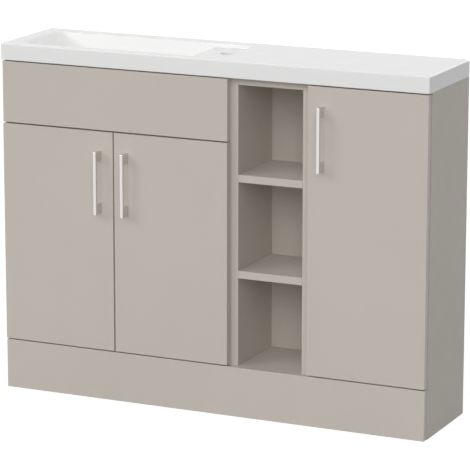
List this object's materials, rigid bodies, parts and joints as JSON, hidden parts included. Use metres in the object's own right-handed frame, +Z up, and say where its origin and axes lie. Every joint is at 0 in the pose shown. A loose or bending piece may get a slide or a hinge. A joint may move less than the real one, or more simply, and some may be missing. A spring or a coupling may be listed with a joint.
{
  "type": "slimline basin and storage vanity run",
  "caption": "Floor-standing bathroom run: basin unit with a fixed fascia over paired doors, open shelf unit and tall cupboard, on one plinth under a cast top with an integral bowl.",
  "frame": {"origin": "on the floor, midway along the run and midway between the handle fronts and the back of the top", "axes": "+X along the run to the right as seen from the front, +Y back towards the wall, +Z up"},
  "size_m": [1.102, 0.286, 0.855],
  "materials": {
    "cabinet_lacquer": "satin taupe lacquer on board",
    "cast_white": "gloss white gel coat on cast stone resin",
    "handle_chrome": "polished",
    "fitting_steel": "nickel plated",
    "buffer_plastic": "soft translucent"
  },
  "bodies": {
    "carcass": {"basin_top": "cast_white", "fascia": "cabinet_lacquer", "plinth": "cabinet_lacquer", "left_hinge_arms": "fitting_steel", "right_hinge_arms": "fitting_steel", "store_hinge_arms": "fitting_steel", "hinge_plate_screws": "fitting_steel", "basin_side_left": "cabinet_lacquer", "basin_side_right": "cabinet_lacquer", "basin_floor": "cabinet_lacquer", "basin_front_rail": "cabinet_lacquer", "basin_wall_rail": "cabinet_lacquer", "basin_back": "cabinet_lacquer", "open_side_left": "cabinet_lacquer", "open_side_right": "cabinet_lacquer", "open_floor": "cabinet_lacquer", "open_top": "cabinet_lacquer", "open_shelf_lower": "cabinet_lacquer", "open_shelf_upper": "cabinet_lacquer", "open_back": "cabinet_lacquer", "store_side_left": "cabinet_lacquer", "store_side_right": "cabinet_lacquer", "store_floor": "cabinet_lacquer", "store_top_rail": "cabinet_lacquer", "store_wall_rail": "cabinet_lacquer", "store_back": "cabinet_lacquer", "store_shelf_lower": "cabinet_lacquer", "store_shelf_upper": "cabinet_lacquer", "shelf_pegs": "fitting_steel", "joining_screws": "fitting_steel", "fascia_brackets": "fitting_steel", "plinth_brackets": "fitting_steel", "bracket_screws": "fitting_steel"},
    "left_leaf": {"left_door": "cabinet_lacquer", "left_handle": "handle_chrome", "left_handle_screws": "fitting_steel", "left_hinge_cups": "fitting_steel", "left_cup_screws": "fitting_steel", "left_door_buffers": "buffer_plastic"},
    "right_leaf": {"right_door": "cabinet_lacquer", "right_handle": "handle_chrome", "right_handle_screws": "fitting_steel", "right_hinge_cups": "fitting_steel", "right_cup_screws": "fitting_steel", "right_door_buffers": "buffer_plastic"},
    "store_leaf": {"store_door": "cabinet_lacquer", "store_handle": "handle_chrome", "store_handle_screws": "fitting_steel", "store_hinge_cups": "fitting_steel", "store_cup_screws": "fitting_steel", "store_door_buffers": "buffer_plastic"}
  },
  "joints": [
    {"name": "left_door_hinge", "type": "hinge", "parent": "carcass", "child": "left_leaf", "pos_m": [-0.548, -0.113, 0.39225], "axis": [0, 0, -1], "range_deg": [0, 110]},
    {"name": "right_door_hinge", "type": "hinge", "parent": "carcass", "child": "right_leaf", "pos_m": [0.048, -0.113, 0.39225], "axis": [0, 0, 1], "range_deg": [0, 110]},
    {"name": "store_door_hinge", "type": "hinge", "parent": "carcass", "child": "store_leaf", "pos_m": [0.548, -0.113, 0.468], "axis": [0, 0, 1], "range_deg": [0, 110]}
  ]
}
